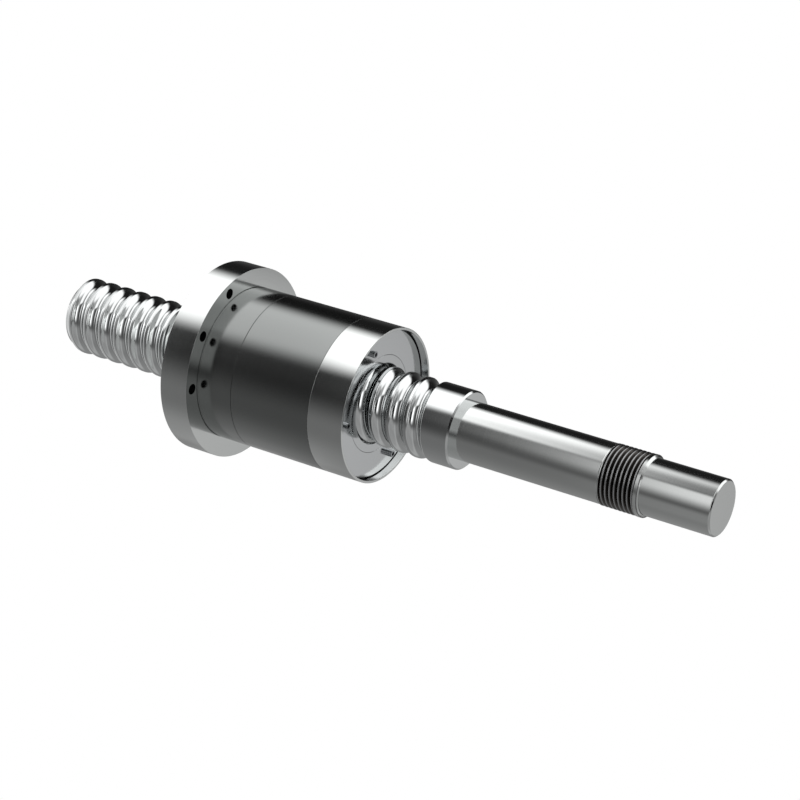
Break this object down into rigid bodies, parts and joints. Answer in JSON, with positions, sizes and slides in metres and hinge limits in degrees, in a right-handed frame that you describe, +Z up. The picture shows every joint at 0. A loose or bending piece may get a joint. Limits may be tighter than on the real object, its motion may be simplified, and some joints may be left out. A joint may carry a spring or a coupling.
{
  "type": "ball screw",
  "caption": "Right-hand ball screw with a flanged round ball nut, a bearing journal, a locknut thread and a plain drive journal.",
  "frame": {"origin": "on the screw's axis, at the shoulder that a bearing's inner ring seats on", "axes": "+X along the screw's axis towards the drive journal, +Z up as in the picture"},
  "size_m": [0.377, 0.1, 0.1],
  "materials": {
    "ground_steel": "hardened steel, ground and polished, oiled",
    "nut_steel": "hardened steel, fine ground",
    "bright_steel": "steel, bright turned",
    "polished_steel": "steel, face polished",
    "screw_steel": "steel, black oxide",
    "spring_steel": "spring steel, oiled",
    "ball_steel": "bearing steel, lapped",
    "deflector_plastic": "acetal, moulded",
    "wiper_plastic": "acetal, turned, grey",
    "seal_rubber": "nitrile rubber"
  },
  "bodies": {
    "screw": {"screw_shaft": "ground_steel"},
    "nut_carriage": {"end_ring": "bright_steel"},
    "nut": {"nut_body": "nut_steel", "cover_sleeve": "nut_steel", "end_snap_ring": "spring_steel", "end_disc": "polished_steel", "end_disc_screws": "screw_steel", "end_disc_seal": "seal_rubber", "sleeve_seal": "seal_rubber", "wiper_front": "wiper_plastic", "wiper_rear": "wiper_plastic", "wiper_front_pin": "spring_steel", "wiper_rear_pin": "spring_steel", "rear_retaining_ring": "spring_steel", "deflector_1": "deflector_plastic", "deflector_2": "deflector_plastic", "deflector_3": "deflector_plastic", "ball_circuit_1": "ball_steel", "ball_circuit_2": "ball_steel", "ball_circuit_3": "ball_steel", "lube_plug": "screw_steel"}
  },
  "joints": [
    {"name": "nut_travel", "type": "slide", "parent": "screw", "child": "nut_carriage", "axis": [1, 0, 0], "range_m": [-0.08, 0.03]},
    {"name": "nut_spin", "type": "hinge", "parent": "nut_carriage", "child": "nut", "pos_m": [-0.0985, 0, 0], "axis": [1, 0, 0], "range_deg": [-2880, 1080]}
  ],
  "couplings": [
    {"joint": "nut_travel", "follows": "nut_spin", "m_per_rad": 0.0015915}
  ]
}
